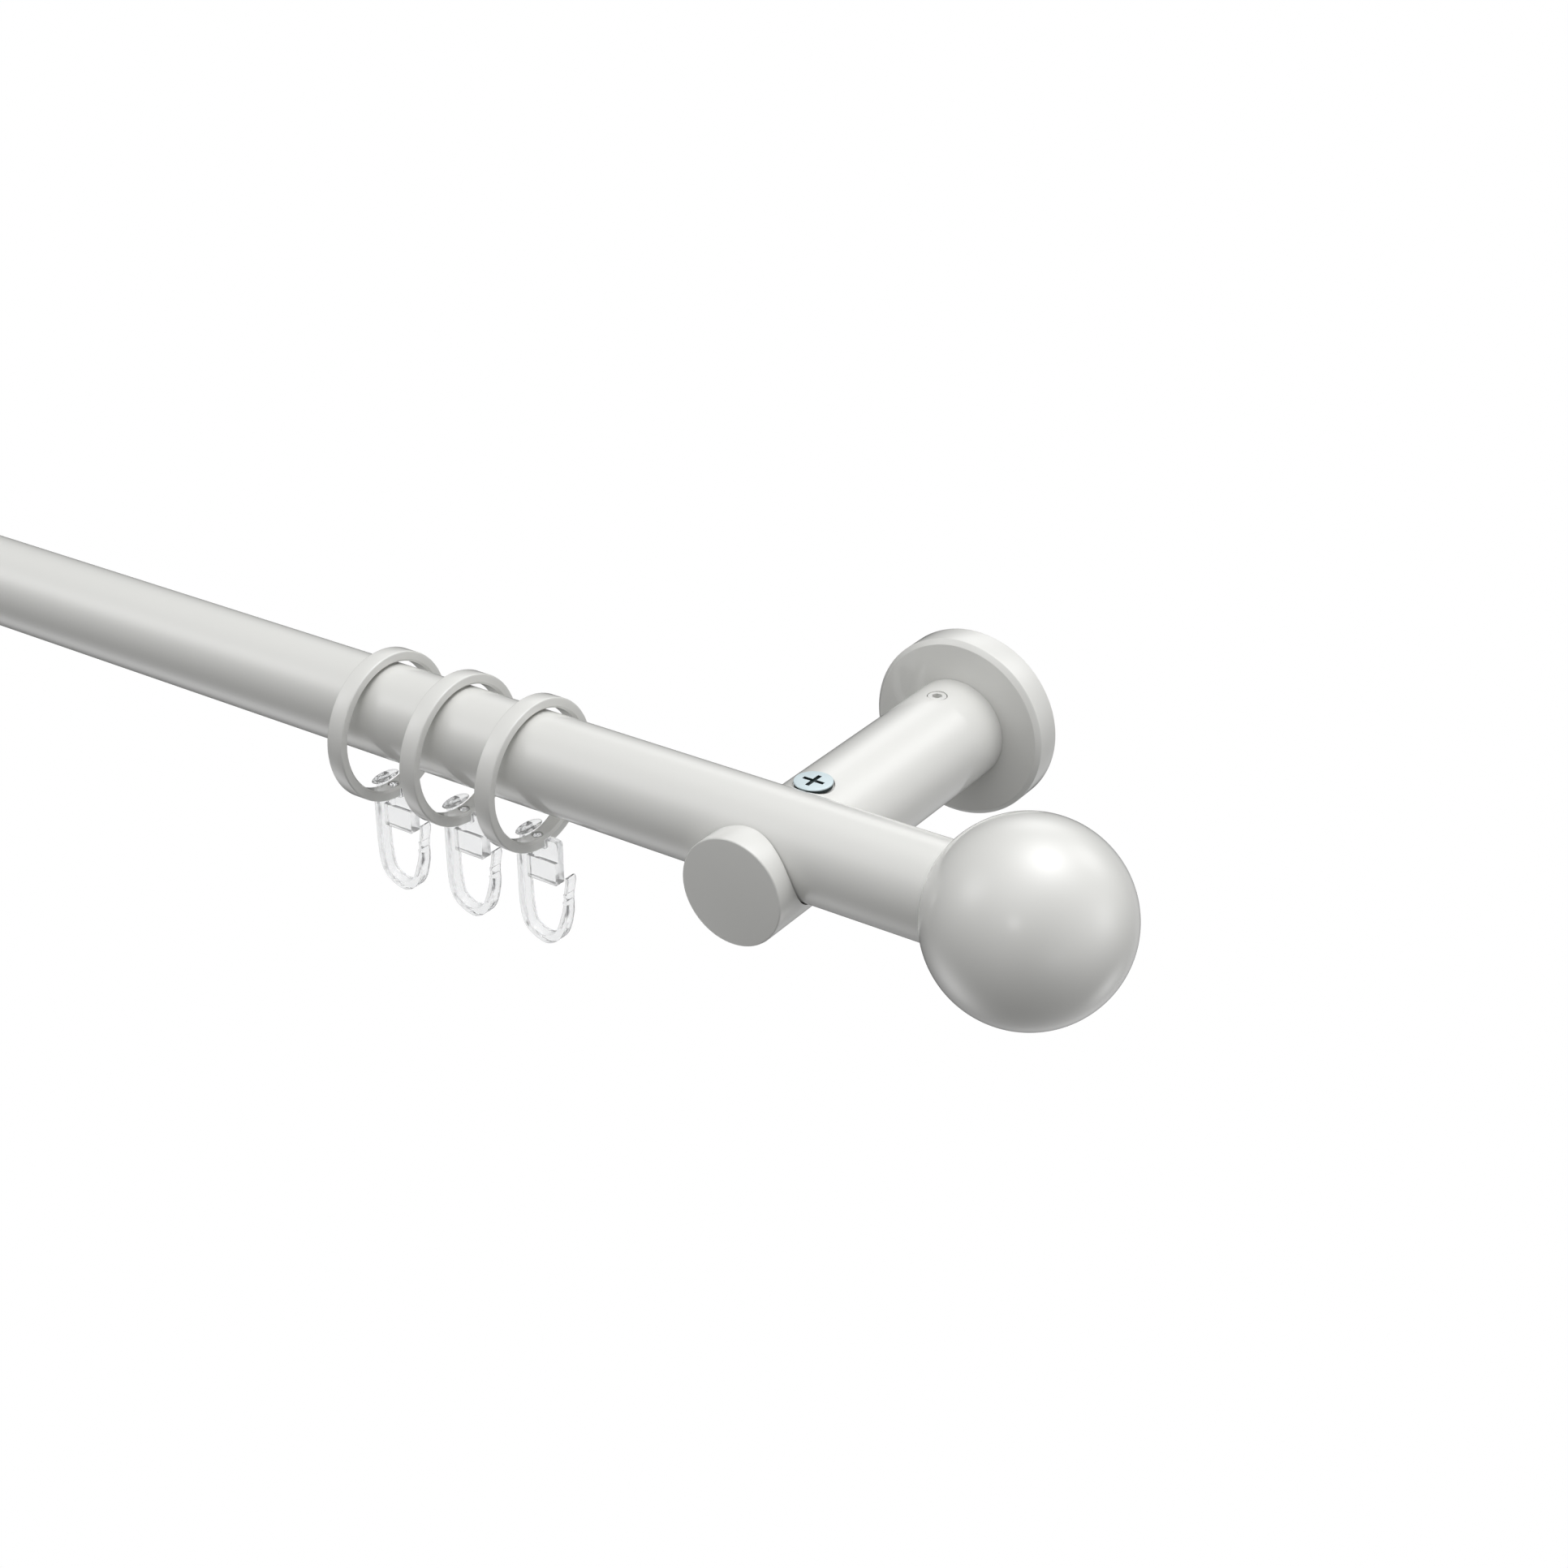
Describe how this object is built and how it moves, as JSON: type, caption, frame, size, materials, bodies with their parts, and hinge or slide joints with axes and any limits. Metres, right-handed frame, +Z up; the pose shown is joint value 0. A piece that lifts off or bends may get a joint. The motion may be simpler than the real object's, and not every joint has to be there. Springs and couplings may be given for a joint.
{
  "type": "curtain rod with brackets",
  "caption": "Round curtain rod on two round wall posts with cover rosettes, ball finials and rings that slide along the rod, each carrying a clear clip-on hook.",
  "frame": {"origin": "centre of the right wall plate's back face, on the wall", "axes": "+X along the rod towards the right finial, +Y into the wall, +Z up"},
  "size_m": [1.2539, 0.0949, 0.0626],
  "materials": {
    "white_lacquer": "satin white lacquer",
    "gloss_lacquer": "gloss white lacquer",
    "plate_steel": "zinc plated",
    "screw_steel": "plain",
    "zinc": "bright pale blue zinc",
    "plug_plastic": "moulded",
    "clear_plastic": "clear moulded plastic"
  },
  "bodies": {
    "rail": {"rod": "white_lacquer", "wall_plate_right": "plate_steel", "rosette_right": "white_lacquer", "post_right": "white_lacquer", "grub_screw_right": "screw_steel", "clamp_screw_right": "zinc", "finial_ball_right": "gloss_lacquer", "finial_plug_right": "plug_plastic", "wall_plate_left": "plate_steel", "rosette_left": "white_lacquer", "post_left": "white_lacquer", "grub_screw_left": "screw_steel", "clamp_screw_left": "zinc", "finial_ball_left": "gloss_lacquer", "finial_plug_left": "plug_plastic"},
    "glider_right_1": {"ring_right_1": "white_lacquer", "hook_right_1": "clear_plastic"},
    "glider_right_2": {"ring_right_2": "white_lacquer", "hook_right_2": "clear_plastic"},
    "glider_right_3": {"ring_right_3": "white_lacquer", "hook_right_3": "clear_plastic"},
    "glider_left_1": {"ring_left_1": "white_lacquer", "hook_left_1": "clear_plastic"},
    "glider_left_2": {"ring_left_2": "white_lacquer", "hook_left_2": "clear_plastic"},
    "glider_left_3": {"ring_left_3": "white_lacquer", "hook_left_3": "clear_plastic"}
  },
  "joints": [
    {"name": "glide_right_1", "type": "slide", "parent": "rail", "child": "glider_right_1", "axis": [1, 0, 0], "range_m": [0, 0.045]},
    {"name": "glide_right_2", "type": "slide", "parent": "rail", "child": "glider_right_2", "axis": [1, 0, 0], "range_m": [-0.006, 0.006]},
    {"name": "glide_right_3", "type": "slide", "parent": "rail", "child": "glider_right_3", "axis": [1, 0, 0], "range_m": [-0.43, 0]},
    {"name": "glide_left_1", "type": "slide", "parent": "rail", "child": "glider_left_1", "axis": [1, 0, 0], "range_m": [-0.045, 0]},
    {"name": "glide_left_2", "type": "slide", "parent": "rail", "child": "glider_left_2", "axis": [1, 0, 0], "range_m": [-0.006, 0.006]},
    {"name": "glide_left_3", "type": "slide", "parent": "rail", "child": "glider_left_3", "axis": [1, 0, 0], "range_m": [0, 0.43]}
  ]
}
